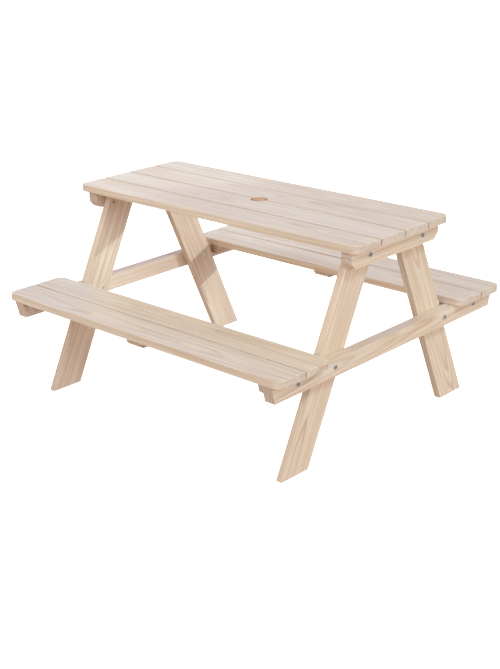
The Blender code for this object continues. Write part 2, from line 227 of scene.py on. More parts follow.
def ease(work, sizes):
    """Rounds every sharp edge of a piece lightly."""
    sharp = [edge for edge in work.edges if edge.calc_face_angle(0.0) > FACE_ANGLE]
    bevel(work, sharp, sizes.edge_easing, sizes.easing_steps)


def linked(name, mesh):
    """A new object of the scene that holds a mesh."""
    piece = bpy.data.objects.new(name, mesh)
    bpy.context.scene.collection.objects.link(piece)
    return piece


def mesh_of(name, work):
    """Turns a bmesh into a mesh with its normals outwards."""
    bmesh.ops.recalc_face_normals(work, faces=work.faces)
    mesh = bpy.data.meshes.new(name)
    work.to_mesh(mesh)
    work.free()
    return mesh


def cut_away(work, other, operation="DIFFERENCE"):
    """Takes one closed shape out of another, or with INTERSECT keeps only what both share."""
    body = linked("body", mesh_of("body", work))
    tool = linked("tool", mesh_of("tool", other))
    boolean = body.modifiers.new("cut", "BOOLEAN")
    boolean.operation = operation
    boolean.solver = "EXACT"
    boolean.object = tool
    bpy.context.view_layer.update()
    graph = bpy.context.evaluated_depsgraph_get()
    mesh = bpy.data.meshes.new_from_object(body.evaluated_get(graph))
    result = bmesh.new()
    result.from_mesh(mesh)
    bmesh.ops.remove_doubles(result, verts=result.verts, dist=WELD)
    for old in (body.data, tool.data, mesh):
        bpy.data.meshes.remove(old)         # and the object that holds it
    return result


def rod(radius, low, high, steps, turned=None):
    """A rod along Z between two heights, turned by a matrix where one is given."""
    work = bmesh.new()
    bmesh.ops.create_cone(work, cap_ends=True, segments=steps, radius1=radius, radius2=radius,
                          depth=high - low, matrix=Matrix.Translation((0.0, 0.0, (low + high) / 2)))
    if turned is not None:
        bmesh.ops.transform(work, matrix=turned, verts=work.verts)
    return work


def lathed(profile, steps):
    """A closed round shape from the outline of one side, as radius and height from bottom to top."""
    work = bmesh.new()
    verts = [work.verts.new((radius, 0.0, height)) for radius, height in profile]
    edges = [work.edges.new(pair) for pair in zip(verts, verts[1:])]
    bmesh.ops.spin(work, geom=verts + edges, cent=(0.0, 0.0, 0.0), axis=UP, angle=math.tau,
                   steps=steps, use_merge=True, use_duplicate=False)
    bmesh.ops.remove_doubles(work, verts=work.verts, dist=WELD)
    bmesh.ops.recalc_face_normals(work, faces=work.faces)
    return work


def joined(parts):
    """Several shapes as one bmesh."""
    whole = bmesh.new()
    for part in parts:
        mesh = bpy.data.meshes.new("part")
        part.to_mesh(mesh)
        part.free()
        whole.from_mesh(mesh)
        bpy.data.meshes.remove(mesh)
    return whole


def finish_piece(name, work, material, replaced=()):
    """Adds a finished piece, evens its shading and ties it to the frame."""
    mesh = mesh_of(name, work)
    mesh.shade_smooth()
    mesh.set_sharp_from_angle(angle=SMOOTH_ANGLE)
    mesh.materials.append(material)
    piece = linked(name, mesh)
    piece.modifiers.new("even_shading", "WEIGHTED_NORMAL").keep_sharp = True
    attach(piece, BODY)
    if replaced:
        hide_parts(*replaced)
    return piece


# Materials

NOISE_SPAN = (0.3, 0.7)     # most values of a noise lie between these


class Nodes:
    """Adds nodes to a tree and links them."""

    def __init__(self, tree):
        self.tree = tree

    def feed(self, socket, value):
        """Links an input to another node's output, or sets it to a value."""
        if isinstance(value, bpy.types.NodeSocket):
            self.tree.links.new(value, socket)
        else:
            socket.default_value = value

    def fill(self, node, **values):
        """Gives a node its settings, and then its inputs, by name or number after in_."""
        for key, value in sorted(values.items(), key=lambda item: item[0].startswith("in_")):
            name = key.removeprefix("in_")
            if name == key:
                setattr(node, key, value)
            else:
                self.feed(node.inputs[int(name) if name.isdigit() else name.replace("_", " ")], value)
        return node

    def add(self, kind, **values):
        """A new node with its settings and inputs."""
        return self.fill(self.tree.nodes.new(kind), **values)

    def math(self, operation, first, second=0.0, clamp=False):
        """A sum, product or other small calculation."""
        return self.add("ShaderNodeMath", operation=operation, use_clamp=clamp,
                        in_0=first, in_1=second).outputs[0]

    def vector(self, operation, first, second=(0.0, 0.0, 0.0)):
        """A small calculation with vectors."""
        node = self.add("ShaderNodeVectorMath", operation=operation, in_0=first, in_1=second)
        return node.outputs["Value" if operation in ("LENGTH", "DOT_PRODUCT") else "Vector"]

    def noise(self, vector, scale, seed, detail=2.0, roughness=0.5, output="Fac"):
        """Noise whose seed shifts it to another pattern; its scale may differ along each axis."""
        if isinstance(scale, tuple):
            vector, scale = self.vector("MULTIPLY", vector, scale), 1.0
        return self.add("ShaderNodeTexNoise", noise_dimensions="4D", in_Vector=vector, in_W=seed,
                        in_Scale=scale, in_Detail=detail, in_Roughness=roughness).outputs[output]

    def remap(self, value, low, high, to_low=0.0, to_high=1.0, smooth=True):
        """A value's range moved to another range."""
        node = self.add("ShaderNodeMapRange", interpolation_type="SMOOTHSTEP" if smooth else "LINEAR",
                        in_Value=value, in_1=low, in_2=high, in_3=to_low, in_4=to_high)
        return node.outputs["Result"]

    def spread(self, noise, low, high):
        """A noise moved so that most of its values lie between two others."""
        return self.remap(noise, *NOISE_SPAN, low, high, False)

    def mix(self, factor, first, second, blend="MIX"):
        """A blend of two colours."""
        node = self.add("ShaderNodeMix", data_type="RGBA", blend_type=blend, clamp_factor=True)
        sockets = [s for s in node.inputs if s.enabled]
        for socket, value in zip(sockets, (factor, first, second)):
            self.feed(socket, value)
        return [s for s in node.outputs if s.enabled][0]


def new_material(name):
    """A material with its nodes and its shader."""
    material = bpy.data.materials.new(name)
    material.use_nodes = True
    return material, Nodes(material.node_tree), material.node_tree.nodes["Principled BSDF"]


def colour4(colour, factor=1.0):
    """A colour with its opacity, made lighter or darker by a factor."""
    return (*(channel * factor for channel in colour), 1.0)


# Scales of the pine's patterns, along the grain and both ways across it.
WANDER_SCALE = (2.2, 9.0, 9.0)
RIPPLE_SCALE = (9.0, 60.0, 60.0)
FIBRE_SCALE = (7.0, 420.0, 420.0)
STREAK_SCALE = (1.6, 150.0, 150.0)
BROAD_SCALE = (2.6, 16.0, 16.0)

# Rings: how far they wander and ripple, how often and how much their widths change, the tone at a ring's
# edge, places across a ring with the tone there, and the share of its tone that the faintest ring keeps.
WANDER, RIPPLE = 0.011, 0.0022
WIDTH_CHANGES, WIDTH_CHANGE = 0.45, 1.8
RING_EDGE = 0.45
RING_TONES = ((0.10, 0.04), (0.50, 0.16), (0.78, 0.62), (0.92, 1.0))
FAINTEST_RING = 0.45

# Faces that cut the grain: how squarely they cut it where end grain begins and is full, and what changes.
END_GRAIN = (0.55, 0.90)
END_STRENGTH, END_SHADE, END_ROUGHNESS = 1.5, 0.89, 0.22
END_TINT = (0.99, 1.01, 1.07, 1.0)

# Fibres, streaks and broad patches: what they add to the lightness. Dark streaks are warmer.
FIBRE_SHADES, STREAK_SHADES, BROAD_SHADES = (-0.070, 0.070), (-0.125, 0.090), (0.965, 1.035)
STREAK_WARMTH, STREAK_TINT = (0.60, 0.30), (1.04, 0.96, 0.88, 1.0)
FIBRE_ROUGHNESS = 0.04
RING_HEIGHT, FIBRE_HEIGHT = 0.55, 0.6
WHITE = (1.0, 1.0, 1.0, 1.0)


def pine_group(finish):
    """The node group that gives pine its rings, fibres and end grain from a point in the timber."""
    tree = bpy.data.node_groups.new("pine", "ShaderNodeTree")
    for way, kind, names in (
            ("INPUT", "NodeSocketVector", ("Point", "Normal")), ("INPUT", "NodeSocketColor", ("Tone",)),
            ("INPUT", "NodeSocketFloat", ("Seed", "Spacing", "Strength", "Swirl")),
            ("OUTPUT", "NodeSocketColor", ("Color",)),
            ("OUTPUT", "NodeSocketFloat", ("Roughness", "Height"))):
        for name in names:
            tree.interface.new_socket(name, in_out=way, socket_type=kind)
    n = Nodes(tree)
    given = n.add("NodeGroupInput").outputs
    point, seed = given["Point"], given["Seed"]

    # The trunk isn't straight: its rings wander slowly along the grain.
    wander = n.vector("SUBTRACT", n.noise(point, WANDER_SCALE, seed, 2.0, 0.45, "Color"), (0.5, 0.5, 0.5))
    wander = n.vector("MULTIPLY", wander, (0.0, WANDER, WANDER))
    ripple = n.math("MULTIPLY", n.math("SUBTRACT", n.noise(point, RIPPLE_SCALE, seed), 0.5), RIPPLE)
    centre = n.vector("MULTIPLY", n.vector("ADD", point, wander), (0.0, 1.0, 1.0))
    radius = n.math("ADD", n.vector("LENGTH", centre), ripple)
    radius = n.math("ADD", radius, given["Swirl"])
    ring = n.math("DIVIDE", radius, given["Spacing"])
    uneven = n.add("ShaderNodeTexNoise", noise_dimensions="1D", in_Scale=1.0, in_Detail=1.0,
                   in_W=n.math("ADD", n.math("MULTIPLY", ring, WIDTH_CHANGES), seed)).outputs["Fac"]
    ring = n.math("ADD", ring, n.math("MULTIPLY", uneven, WIDTH_CHANGE))
    chance = n.add("ShaderNodeTexWhiteNoise", noise_dimensions="1D",
                   in_W=n.math("ADD", n.math("FLOOR", ring), seed)).outputs["Value"]
    late = n.add("ShaderNodeValToRGB", in_Fac=n.math("FRACT", ring))
    ramp = late.color_ramp
    ramp.interpolation = "EASE"
    for stop, place in zip(ramp.elements, (0.0, 1.0)):
        stop.position, stop.color = place, (RING_EDGE, RING_EDGE, RING_EDGE, 1.0)
    for place, tone in RING_TONES:
        ramp.elements.new(place).color = (tone, tone, tone, 1.0)
    late = n.math("MULTIPLY", late.outputs["Color"], n.remap(chance, 0.0, 1.0, FAINTEST_RING, 1.0, False))

    # End grain is darker and shows its rings more.
    end = n.math("ABSOLUTE", n.vector("DOT_PRODUCT", given["Normal"], (1.0, 0.0, 0.0)))
    end = n.remap(end, *END_GRAIN)
    strength = n.math("MULTIPLY", given["Strength"], n.remap(end, 0.0, 1.0, 1.0, END_STRENGTH, False))
    shade = n.mix(n.math("MULTIPLY", late, strength, clamp=True), colour4(finish.early_wood),
                  colour4(finish.late_wood))

    # Fibres run along the grain; broad patches change the colour slowly.
    fibres = n.noise(point, FIBRE_SCALE, seed, 3.0, 0.6)
    streaks = n.noise(point, STREAK_SCALE, seed, 2.0, 0.55)
    broad = n.noise(point, BROAD_SCALE, seed, 1.0)
    light = n.math("ADD", n.spread(fibres, *FIBRE_SHADES), n.spread(streaks, *STREAK_SHADES))
    light = n.math("ADD", light, n.spread(broad, *BROAD_SHADES))
    light = n.math("MULTIPLY", light, n.remap(end, 0.0, 1.0, 1.0, END_SHADE, False))
    grey = n.add("ShaderNodeCombineColor", in_0=light, in_1=light, in_2=light).outputs[0]
    shade = n.mix(1.0, shade, grey, "MULTIPLY")
    warm = n.mix(n.remap(streaks, *STREAK_WARMTH), WHITE, STREAK_TINT)
    shade = n.mix(1.0, shade, warm, "MULTIPLY")
    shade = n.mix(1.0, shade, given["Tone"], "MULTIPLY")
    shade = n.mix(end, shade, n.mix(1.0, shade, END_TINT, "MULTIPLY"))

    rough = n.remap(end, 0.0, 1.0, finish.roughness, finish.roughness + END_ROUGHNESS, False)
    rough = n.math("ADD", rough, n.spread(fibres, -FIBRE_ROUGHNESS, FIBRE_ROUGHNESS))
    height = n.math("ADD", n.math("MULTIPLY", late, RING_HEIGHT), n.math("MULTIPLY", fibres, FIBRE_HEIGHT))
    n.add("NodeGroupOutput", in_Color=shade, in_Roughness=rough, in_Height=height)
    return tree


def grain_axes(grain, heart):
    """Rotation of the timber: its X runs along the grain and its Z from the heart of the trunk."""
    along = grain.normalized()
    side = heart.cross(along).normalized()
    up = along.cross(side)
    return Matrix((along, side, up)).transposed().to_euler("XYZ")


# Knots: how slowly they change into the wood, how unevenly they are edged, and how finely. Then, in sizes of
# the knot, where its heart ends, where its rim ends and how far it pushes the rings aside.
KNOT_STRETCH = (0.25, 1.0, 1.0)
KNOT_UNEVENNESS, KNOT_SCALE = 0.0006, 160.0
KNOT_HEART, KNOT_RIM, KNOT_REACH = (0.40, 0.62), (0.6, 1.25), 3.2
RIM_TONE, KNOT_PUSH = 0.30, 0.9


def knot_marks(n, place, knots, seed):
    """How far knots push the rings aside and how dark they are; a knot has a spot, a size and a tone."""
    push, mark = 0.0, 0.0
    for number, (spot, size, tone) in enumerate(knots):
        away = n.vector("LENGTH", n.vector("MULTIPLY", n.vector("SUBTRACT", place, spot), KNOT_STRETCH))
        wobble = n.spread(n.noise(place, KNOT_SCALE, seed + number, 1.0), -KNOT_UNEVENNESS, KNOT_UNEVENNESS)
        away = n.math("ADD", away, wobble)
        heart, rim = (n.remap(away, size * first, size * last, 1.0, 0.0)
                      for first, last in (KNOT_HEART, KNOT_RIM))
        dark = n.math("MAXIMUM", heart, n.math("MULTIPLY", rim, RIM_TONE))
        mark = n.math("MAXIMUM", mark, n.math("MULTIPLY", dark, tone))
        near = n.remap(away, 0.0, size * KNOT_REACH, 1.0, 0.0)
        push = n.math("ADD", push, n.math("MULTIPLY", near, size * KNOT_PUSH))
    return push, mark


def pine_material(name, centre, grain, heart, cut, knots=(), bored=False):
    """Pine for one piece.

    grain is the direction of the fibres and heart the direction from the trunk's heart to the piece;
    cut holds the distance to the heart, the sideways shift, two slopes of the grain, the seed, the ring
    spacing and strength, and the tone. A bored piece has the pole hole, whose wall is tinted warmer and
    darker: partly raw wood, partly painted shade inside the hole.
    """
    finish = bpy.context.scene.picnic_pine
    group = bpy.data.node_groups.get("pine") or pine_group(finish)
    depth, shift, slope, skew, seed, spacing, strength, tone = cut
    side = heart.cross(grain).normalized()
    turned = grain_axes(grain + slope * heart + skew * side, heart)
    pith = centre - heart * depth + side * shift
    material, n, shader = new_material(name)
    given = n.add("ShaderNodeTexCoord").outputs
    place = given["Object"]
    point = n.add("ShaderNodeMapping", vector_type="TEXTURE", in_Vector=place,
                  in_Location=pith, in_Rotation=turned).outputs[0]
    normal = n.add("ShaderNodeMapping", vector_type="TEXTURE", in_Vector=given["Normal"],
                   in_Rotation=turned).outputs[0]
    push, mark = knot_marks(n, place, knots, seed)
    pine = n.add("ShaderNodeGroup", node_tree=group, in_Point=point, in_Normal=normal, in_Seed=float(seed),
                 in_Spacing=spacing, in_Strength=strength, in_Swirl=push, in_Tone=(*tone, 1.0)).outputs
    colour = pine["Color"]
    if knots:
        colour = n.mix(mark, colour, colour4(finish.knot_wood))
    # The pole hole's wall gets a warmer, darker tint: partly raw wood, partly painted shade inside the hole
    if bored:
        sizes = bpy.context.scene.picnic_sizes
        wall = sizes.pole_hole / 2
        outwards = n.vector("SUBTRACT", place, (sizes.pole_offset, 0.0, 0.0))
        outwards = n.vector("LENGTH", n.vector("MULTIPLY", outwards, (1.0, 1.0, 0.0)))
        inside = n.remap(outwards, wall + 0.0002, wall + 0.0009, 1.0, 0.0)
        colour = n.mix(inside, colour, n.mix(1.0, colour, colour4(finish.raw_wood_and_shade_tint), "MULTIPLY"))
    bump = n.add("ShaderNodeBump", in_Strength=0.35, in_Distance=0.00025, in_Height=pine["Height"])
    n.fill(shader, in_Base_Color=colour, in_Roughness=pine["Roughness"], in_Normal=bump.outputs[0],
           in_Coat_Weight=finish.sheen, in_Coat_Roughness=finish.sheen_roughness)
    return material


# Metals by slot: name, colour setting, roughness, unevenness of tone, and how metallic they are. The names
# differ from the slots, because the CAD's own materials bear those.
METALS = {"dark_bolt_steel": ("bolt_finish", "bolt_steel", 0.48, 0.20, 0.50),
          "zinc_steel": ("zinc_finish", "zinc", 0.60, 0.06, 0.55)}
CLOUD_SCALE, GRAIN_SCALE = 420.0, 2600.0                 # patterns of the metal
CLOUD_ROUGHNESS, GRAIN_ROUGHNESS = 0.07, 0.03            # how much they change its roughness


def metal_material(slot):
    """Metal that is slightly uneven in tone and gloss."""
    name, setting, roughness, blotch, metallic = METALS[slot]
    made = bpy.data.materials.get(name)
    if made:
        return made
    colour = getattr(bpy.context.scene.picnic_metal, setting)
    material, n, shader = new_material(name)
    place = n.add("ShaderNodeTexCoord").outputs["Object"]
    clouds = n.noise(place, CLOUD_SCALE, 3.0, 3.0, 0.6)
    grains = n.noise(place, GRAIN_SCALE, 5.0, 1.0)
    shade = n.mix(n.remap(clouds, 0.35, 0.65), colour4(colour, 1.0 - blotch), colour4(colour, 1.0 + blotch))
    rough = n.math("ADD", n.spread(clouds, roughness - CLOUD_ROUGHNESS, roughness + CLOUD_ROUGHNESS),
                   n.spread(grains, -GRAIN_ROUGHNESS, GRAIN_ROUGHNESS))
    bump = n.add("ShaderNodeBump", in_Strength=0.25, in_Distance=0.00005, in_Height=grains)
    n.fill(shader, in_Base_Color=shade, in_Roughness=rough, in_Normal=bump.outputs[0], in_Metallic=metallic)
    return material


# Timber

def bolt_axes():
    """End, Y and Z of each bolt, by its name, from the frame."""
    axes = {}
    for name in sorted(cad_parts):
        if name.endswith("_bolt"):
            low, high = span(name)
            end = 1 if low.x > 0 else -1
            axes[name.removesuffix("_bolt")] = (end, (low.y + high.y) / 2, (low.z + high.z) / 2)
    return axes


def bored_for_bolts(work, low, high):
    """Bores every bolt hole that passes through a piece's box."""
    radius = bpy.context.scene.picnic_metal.bolt_diameter / 2 + BOLT_PLAY
    for end, y, z in bolt_axes().values():
        if low.y < y < high.y and low.z < z < high.z and end * (low.x + high.x) > 0:
            turned = Matrix.Translation((0.0, y, z)) @ Matrix.Rotation(math.pi / 2, 4, "Y")
            work = cut_away(work, rod(radius, low.x - CUT_MARGIN, high.x + CUT_MARGIN, BORE_STEPS, turned))
    return work


def frame_corners():
    """Name, side and end of each corner of the frame."""
    return [(f"{side_name}_{end_name}", side, end)
            for side_name, side in SIDES.items() for end_name, end in ENDS.items()]


def level_edges(work, axis, value, along):
    """Edges whose ends both have one value on an axis, and that don't run along another axis."""
    return [edge for edge in work.edges
            if all(abs(vert.co[axis] - value) < WELD for vert in edge.verts)
            and abs(edge.verts[0].co[along] - edge.verts[1].co[along]) < WELD]


def add_timber(name, work, grain, heart, cut, bolted=True, bored=False, knots=()):
    """Makes the holes of a piece of timber, eases its edges and finishes it in pine."""
    sizes = bpy.context.scene.picnic_sizes
    low, high = span(name)
    if bored:
        hole = rod(sizes.pole_hole / 2, low.z - CUT_MARGIN, high.z + CUT_MARGIN, HOLE_STEPS,
                   Matrix.Translation((sizes.pole_offset, 0.0, 0.0)))
        work = cut_away(work, hole)
    ease(work, sizes)
    if bolted:
        work = bored_for_bolts(work, low, high)
    for head in screw_heads(name):
        work = cut_away(work, screw_sink(head))
    material = pine_material(name, (low + high) / 2, grain, heart, cut, knots, bored)
    finish_piece(name + "_planed", work, material, [name])


def board(name, rounded_side, cut):
    """A board along the table; the corners of its front (-1) or back (1) edge are rounded, or none (0)."""
    sizes = bpy.context.scene.picnic_sizes
    low, high = span(name)
    work = block(low, high)
    if rounded_side:
        edge_y = high.y if rounded_side > 0 else low.y
        bevel(work, level_edges(work, Y, edge_y, X), sizes.corner_radius, sizes.corner_steps)
    add_timber(name, work, ALONG, UP, cut, bolted=False,
               bored=name.startswith("top_board_middle"))


# Boards: the edge whose corners are rounded, and how the board is cut from the trunk, as in pine_material.
BOARDS = {
    "top_board_front": (-1, (0.060, 0.010, 0.020, 0.010, 1.3, 0.0034, 0.55, (1.0, 0.99, 0.98))),
    "top_board_middle_front": (0, (0.075, -0.014, -0.018, 0.012, 7.9, 0.0036, 0.40, (1.01, 1.01, 1.02))),
    "top_board_middle_back": (0, (0.052, 0.018, 0.022, -0.014, 14.2, 0.0032, 0.50, (1.0, 1.0, 1.0))),
    "top_board_back": (1, (0.068, -0.008, -0.016, -0.010, 21.7, 0.0035, 0.55, (1.0, 0.99, 0.98))),
    "bench_front_inner_board": (1, (0.058, 0.012, 0.018, 0.011, 31.1, 0.0042, 0.50, (1.0, 0.99, 0.97))),
    "bench_front_outer_board": (-1, (0.070, -0.010, -0.020, 0.012, 38.6, 0.0045, 0.50, (1.01, 1.0, 0.99))),
    "bench_back_inner_board": (-1, (0.064, 0.015, 0.019, -0.012, 45.4, 0.0041, 0.50, (1.0, 0.99, 0.98))),
    "bench_back_outer_board": (1, (0.056, -0.012, -0.017, 0.012, 52.8, 0.0044, 0.50, (1.0, 1.0, 1.0)))}


class PICNIC_OT_boards(Operator):
    """Four boards of the top, with the parasol hole between the middle two, and two for each bench"""
    bl_idname = "picnic.boards"
    bl_label = "Boards"

    def execute(self, context):
        for name, (rounded_side, cut) in BOARDS.items():
            board(name, rounded_side, cut)
        return {"FINISHED"}


class PICNIC_OT_top_beams(Operator):
    """Beams under both ends of the top, with chamfered lower corners"""
    bl_idname = "picnic.top_beams"
    bl_label = "Top Beams"

    def execute(self, context):
        sizes = context.scene.picnic_sizes
        cuts = {"left": (0.070, 0.0, 0.020, 0.0, 61.2, 0.0036, 0.95, (1.03, 1.03, 1.03)),
                "right": (0.080, 0.004, 0.012, 0.006, 68.7, 0.0036, 1.00, (1.10, 1.13, 1.13))}
        for end_name in ENDS:
            name = f"top_beam_{end_name}"
            low, high = span(name)
            work = block(low, high)
            bevel(work, level_edges(work, Z, low.z, Y), sizes.beam_chamfer, 1)
            add_timber(name, work, ACROSS, UP, cuts[end_name])
        return {"FINISHED"}


def slanted_ends(work, low, high, slant, both):
    """Moves the lower end edges of a crosswise piece inwards, at both ends or at its outer end only."""
    inwards = (high.z - low.z) * math.tan(slant)
    outer = 1 if abs(high.y) > abs(low.y) else -1
    for side in (-1, 1):
        if both or side == outer:
            end_y = high.y if side > 0 else low.y
            lower = [vert for vert in work.verts
                     if abs(vert.co.y - end_y) < WELD and abs(vert.co.z - low.z) < WELD]
            bmesh.ops.translate(work, vec=(0.0, -side * inwards, 0.0), verts=lower)


class PICNIC_OT_seat_beams(Operator):
    """Long beams that carry both benches, with slanted ends"""
    bl_idname = "picnic.seat_beams"
    bl_label = "Seat Beams"

    def execute(self, context):
        sizes = context.scene.picnic_sizes
        cuts = {"left": (0.050, 0.040, 0.012, 0.014, 75.3, 0.0034, 0.55, (1.05, 1.03, 1.01)),
                "right": (0.034, 0.010, -0.020, 0.016, 82.1, 0.0040, 0.75, (1.0, 0.99, 0.965))}
        for end_name, end in ENDS.items():
            name = f"seat_beam_{end_name}"
            low, high = span(name)
            work = block(low, high)
            slanted_ends(work, low, high, sizes.end_slant, True)
            add_timber(name, work, ACROSS, ALONG * end, cuts[end_name])
        return {"FINISHED"}


class PICNIC_OT_legs(Operator):
    """Four splayed legs, cut level at the floor and under the top"""
    bl_idname = "picnic.legs"
    bl_label = "Legs"

    def execute(self, context):
        sizes = context.scene.picnic_sizes
        cuts = {"front_left": (0.046, 0.012, 0.012, 0.020, 90.5, 0.0044, 0.70, (1.0, 0.98, 0.955)),
                "front_right": (0.030, 0.022, -0.012, 0.016, 97.9, 0.0042, 0.80, (1.0, 0.98, 0.95)),
                "back_left": (0.048, -0.040, 0.014, -0.016, 104.4, 0.0034, 0.60, (1.01, 0.99, 0.965)),
                "back_right": (0.038, -0.006, 0.022, 0.010, 111.8, 0.0046, 0.85, (1.0, 0.985, 0.955))}
        knots = {"front_left": ((Vector((-0.380, -0.1253, 0.4655)), 0.0058, 0.85),
                                (Vector((-0.380, -0.175, 0.2406)), 0.0048, 0.55))}
        width = sizes.leg_width / math.cos(sizes.leg_tilt)
        for place, side, end in frame_corners():
            name = "leg_" + place
            low, high = span(name)
            foot = Vector((low.x, low.y if side < 0 else high.y - width, low.z))
            work = block(foot, foot + Vector((high.x - low.x, width, high.z - low.z)))
            lean = Matrix.Identity(4)
            lean[Y][Z] = -side * math.tan(sizes.leg_tilt)
            bmesh.ops.transform(work, matrix=lean, verts=work.verts)
            grain = Vector((0.0, -side * math.sin(sizes.leg_tilt), math.cos(sizes.leg_tilt)))
            add_timber(name, work, grain, ALONG * end, cuts[place],
                       knots=knots.get(place, ()))
        return {"FINISHED"}


class PICNIC_OT_bench_cleats(Operator):
    """Cleats that join the bench boards at their ends, beside the seat beams"""
    bl_idname = "picnic.bench_cleats"
    bl_label = "Bench Cleats"

    def execute(self, context):
        sizes = context.scene.picnic_sizes
        seed = 118.0
        for place, _, _ in frame_corners():
            name = "bench_cleat_" + place
            low, high = span(name)
            work = block(low, high)
            slanted_ends(work, low, high, sizes.end_slant, False)
            seed += 5.3
            cut = (0.050, 0.006, 0.02, 0.0, seed, 0.0040, 0.65, (0.99, 0.97, 0.94))
            add_timber(name, work, ACROSS, UP, cut)
        return {"FINISHED"}


class PICNIC_OT_battens(Operator):
    """Flat battens across the middle of the benches and of the top"""
    bl_idname = "picnic.battens"
    bl_label = "Battens"

    def execute(self, context):
        sizes = context.scene.picnic_sizes
        seed = 145.0
        for name in ("bench_middle_cleat_front", "bench_middle_cleat_back", "top_batten"):
            low, high = span(name)
            work = block(low, high)
            bevel(work, level_edges(work, Z, low.z, Y), sizes.batten_chamfer, 1)
            seed += 6.1
            cut = (0.055, 0.010, 0.02, 0.01, seed, 0.0042, 0.60, (0.99, 0.97, 0.94))
            add_timber(name, work, ACROSS, UP, cut, bolted=False, bored=name == "top_batten")
        return {"FINISHED"}


# Fasteners

# Sides of the turned pieces.
HEAD_STEPS, PLATE_STEPS, SHANK_STEPS, SCREW_STEPS = 64, 48, 28, 32
THREAD_RIDGES = 8
METAL_EASE = 0.0003         # small chamfers of the bolts and nuts
SHORT_OF_NUT = 0.0005       # how far a bolt ends inside its nut
HEAD_TURN = 0.7             # each bolt is turned this much further than the one before

REST_GAP = 0.001            # a board nearer than this rests on its carrier
LEAST_BEARING = 0.02        # less than this, as a bolt has, carries no board
WIDE_CARRIER = 0.04         # a carrier wider than this has two screws to a board
SCREW_INSET = 0.012         # from a wide carrier's edge to its screws


def hexagon(across_flats, bottom, top):
    """A hexagonal prism whose upper corners are turned off, as on a nut."""
    corner = across_flats / math.sqrt(3.0)
    reach = corner * 1.2                    # clear of the corners
    shoulder = across_flats / 2 * 0.95      # radius at which the turning begins
    slope = math.tan(math.radians(30.0))
    limit = lathed([(0.0, bottom - CUT_MARGIN), (reach, bottom - CUT_MARGIN),
                    (reach, top - (reach - shoulder) * slope), (shoulder, top), (0.0, top)], PLATE_STEPS)
    return cut_away(rod(corner, bottom, top, 6), limit, "INTERSECT")


def bolt_shape(clamped, metal):
    """A bolt along Z with a low round head, the beam's outer face at Z 0, threaded at its end."""
    under_head = metal.washer_height + 2 * metal.fit_gap
    top = under_head + metal.head_height
    rim = metal.head_diameter / 2
    soft = metal.head_height * 0.35         # rounding of the head's upper rim
    slight = soft * 0.3
    head = lathed([(0.0, under_head), (rim - slight, under_head), (rim, under_head + slight),
                   (rim, top - soft), (rim - slight, top - slight), (rim - soft, top), (0.0, top)],
                  HEAD_STEPS)
    head = cut_away(head, rod(metal.socket_width / math.sqrt(3.0), top - metal.socket_depth,
                              top + CUT_MARGIN, 6))
    radius = metal.bolt_diameter / 2
    point, root, plain = radius * 0.72, radius * 0.84, radius * 0.98
    tip = -clamped - metal.fit_gap - metal.nut_height + SHORT_OF_NUT
    start = tip + METAL_EASE
    profile = [(0.0, tip), (point, tip)]
    for ridge in range(THREAD_RIDGES):
        base = start + ridge * metal.thread_pitch
        profile += [(root, base), (radius, base + metal.thread_pitch * 0.5)]
    end = start + THREAD_RIDGES * metal.thread_pitch
    profile += [(root, end), (plain, end + METAL_EASE),
                (plain, under_head + METAL_EASE), (0.0, under_head + METAL_EASE)]
    return joined([head, lathed(profile, SHANK_STEPS)])


def washer_shape(metal):
    """A flat washer that stands on Z 0, with softened edges."""
    outer, height = metal.washer_diameter / 2, metal.washer_height
    inner = metal.bolt_diameter / 2 + metal.fit_gap
    soft = height * 0.25
    ring = [(inner, 0.0), (outer - soft, 0.0), (outer, soft), (outer, height - soft), (outer - soft, height),
            (inner + soft, height), (inner, height - soft), (inner, 0.0)]
    return lathed(ring, PLATE_STEPS)


def nut_shape(metal):
    """A low hexagon nut with a round flange, which stands on the flange at Z 0."""
    rim, thick = metal.washer_diameter / 2, metal.flange_height
    inner = metal.bolt_diameter / 2 + metal.fit_gap * 0.5
    lip, slope = 0.0004, 0.0012             # height of the flange's foot, and width of its sloping top
    plate = lathed([(inner, 0.0), (rim - METAL_EASE, 0.0), (rim, lip), (rim - lip, thick * 0.7),
                    (rim - slope, thick), (inner, thick), (inner, 0.0)], PLATE_STEPS)
    body = cut_away(hexagon(metal.nut_width, thick * 0.6, metal.nut_height),
                    rod(inner, -CUT_MARGIN, metal.nut_height + CUT_MARGIN, SHANK_STEPS))
    return joined([plate, body])


def screw_sink(head):
    """The countersink of a screw head, which opens downwards at the head's place."""
    radius = bpy.context.scene.picnic_metal.screw_head / 2
    mouth, core = radius * 1.08, radius * 0.38
    bottom, lip, end = -0.001, 0.0004, 0.012
    work = lathed([(0.0, bottom), (mouth, bottom), (mouth, lip), (core, radius * 0.75), (core, end),
                   (0.0, end)], SCREW_STEPS)
    bmesh.ops.translate(work, vec=head, verts=work.verts)
    return work


def screw_shape(head):
    """A countersunk screw with a cross recess, driven upwards at the head's place."""
    radius = bpy.context.scene.picnic_metal.screw_head / 2
    face, lip, end = 0.0003, 0.0006, 0.0115
    body = lathed([(0.0, face), (radius * 0.96, face), (radius, lip), (radius * 0.36, radius * 0.72),
                   (radius * 0.34, end), (0.0, end)], SCREW_STEPS)
    corner = Vector((radius * 0.52, radius * 0.13, 0.0018))
    for turn in (0.0, math.pi / 2):
        slot = block(Vector((-corner.x, -corner.y, -0.001)), corner)
        turned = Matrix.Rotation(turn + 0.35, 3, "Z")
        bmesh.ops.rotate(slot, cent=(0.0, 0.0, 0.0), matrix=turned, verts=slot.verts)
        body = cut_away(body, slot)
    bmesh.ops.translate(body, vec=head, verts=body.verts)
    return body


